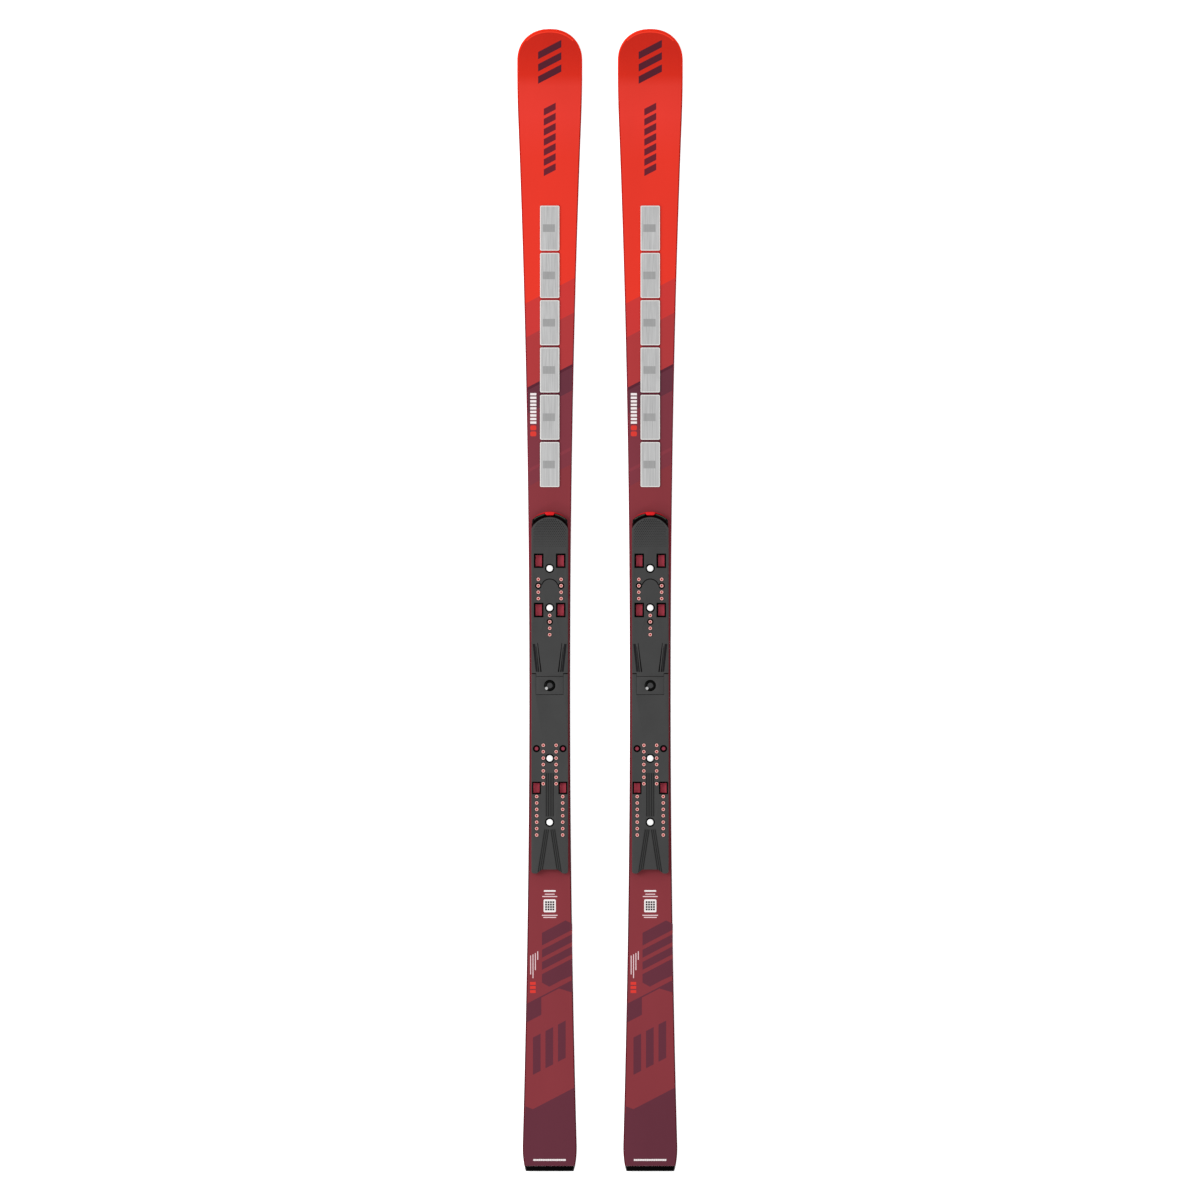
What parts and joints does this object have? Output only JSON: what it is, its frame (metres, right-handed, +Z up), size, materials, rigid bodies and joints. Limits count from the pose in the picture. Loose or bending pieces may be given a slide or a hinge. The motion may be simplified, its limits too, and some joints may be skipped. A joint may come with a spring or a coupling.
{
  "type": "alpine ski pair",
  "caption": "Alpine race skis with sidecut, upturned tips, steel damping plates on the shovel and a split binding plate that floats lengthwise on each ski.",
  "frame": {"origin": "on the floor under the middle of the pair, half way between the tips and the tails", "axes": "+Y along the skis towards the tips, +X across to the right ski seen from above with the tips away, +Z up from the snow"},
  "size_m": [0.271, 1.8697, 0.0501],
  "materials": {
    "running_base": "structured black base",
    "edge_steel": "ground steel edge",
    "core_alloy": "alloy laminate",
    "core_wood": "laminated hardwood",
    "sidewall": "dark red moulded sidewall",
    "topsheet": "lacquered, red at the tip to burgundy at the tail",
    "cap": "black moulded cap",
    "elastomer": "damping elastomer",
    "race_plate": "charcoal moulded plate",
    "bumper": "bright red bumper",
    "centre_screw": "glossy black head",
    "plate_screw": "white coated head",
    "damper_plate": "lengthwise brushed steel"
  },
  "bodies": {
    "left_ski": {"left_running_base": "running_base", "left_edge_left": "edge_steel", "left_edge_right": "edge_steel", "left_lower_metal_sheet": "core_alloy", "left_upper_metal_sheet": "core_alloy", "left_wood_core": "core_wood", "left_sidewall_left": "sidewall", "left_sidewall_right": "sidewall", "left_tip_spacer": "sidewall", "left_topsheet": "topsheet", "left_tail_protector": "cap", "left_front_end_cap": "cap", "left_damper_bed": "elastomer", "left_toe_underlay": "elastomer", "left_heel_underlay": "elastomer", "left_bridge": "race_plate", "left_front_bumper": "bumper", "left_centre_screw": "centre_screw", "left_toe_screw_front": "plate_screw", "left_toe_screw_rear": "plate_screw", "left_heel_screw_front": "plate_screw", "left_heel_screw_rear": "plate_screw", "left_damper_plate_1": "damper_plate", "left_damper_plate_2": "damper_plate", "left_damper_plate_3": "damper_plate", "left_damper_plate_4": "damper_plate", "left_damper_plate_5": "damper_plate", "left_damper_plate_6": "damper_plate"},
    "left_toe_plate": {"left_toe_plate": "race_plate"},
    "left_heel_plate": {"left_heel_plate": "race_plate"},
    "right_ski": {"right_running_base": "running_base", "right_edge_left": "edge_steel", "right_edge_right": "edge_steel", "right_lower_metal_sheet": "core_alloy", "right_upper_metal_sheet": "core_alloy", "right_wood_core": "core_wood", "right_sidewall_left": "sidewall", "right_sidewall_right": "sidewall", "right_tip_spacer": "sidewall", "right_topsheet": "topsheet", "right_tail_protector": "cap", "right_front_end_cap": "cap", "right_damper_bed": "elastomer", "right_toe_underlay": "elastomer", "right_heel_underlay": "elastomer", "right_bridge": "race_plate", "right_front_bumper": "bumper", "right_centre_screw": "centre_screw", "right_toe_screw_front": "plate_screw", "right_toe_screw_rear": "plate_screw", "right_heel_screw_front": "plate_screw", "right_heel_screw_rear": "plate_screw", "right_damper_plate_1": "damper_plate", "right_damper_plate_2": "damper_plate", "right_damper_plate_3": "damper_plate", "right_damper_plate_4": "damper_plate", "right_damper_plate_5": "damper_plate", "right_damper_plate_6": "damper_plate"},
    "right_toe_plate": {"right_toe_plate": "race_plate"},
    "right_heel_plate": {"right_heel_plate": "race_plate"}
  },
  "joints": [
    {"name": "ski_spacing", "type": "slide", "parent": "left_ski", "child": "right_ski", "axis": [1, 0, 0], "range_m": [-0.055, 0.3]},
    {"name": "left_heel_float", "type": "slide", "parent": "left_ski", "child": "left_heel_plate", "axis": [0, -1, 0], "range_m": [-0.0005, 0.0012], "stiffness_N_per_m": 4000},
    {"name": "left_toe_float", "type": "slide", "parent": "left_ski", "child": "left_toe_plate", "axis": [0, 1, 0], "range_m": [-0.0005, 0.0012]},
    {"name": "right_heel_float", "type": "slide", "parent": "right_ski", "child": "right_heel_plate", "axis": [0, -1, 0], "range_m": [-0.0005, 0.0012], "stiffness_N_per_m": 4000},
    {"name": "right_toe_float", "type": "slide", "parent": "right_ski", "child": "right_toe_plate", "axis": [0, 1, 0], "range_m": [-0.0005, 0.0012]}
  ],
  "couplings": [
    {"joint": "left_toe_float", "follows": "left_heel_float", "ratio": 1},
    {"joint": "right_toe_float", "follows": "right_heel_float", "ratio": 1}
  ]
}
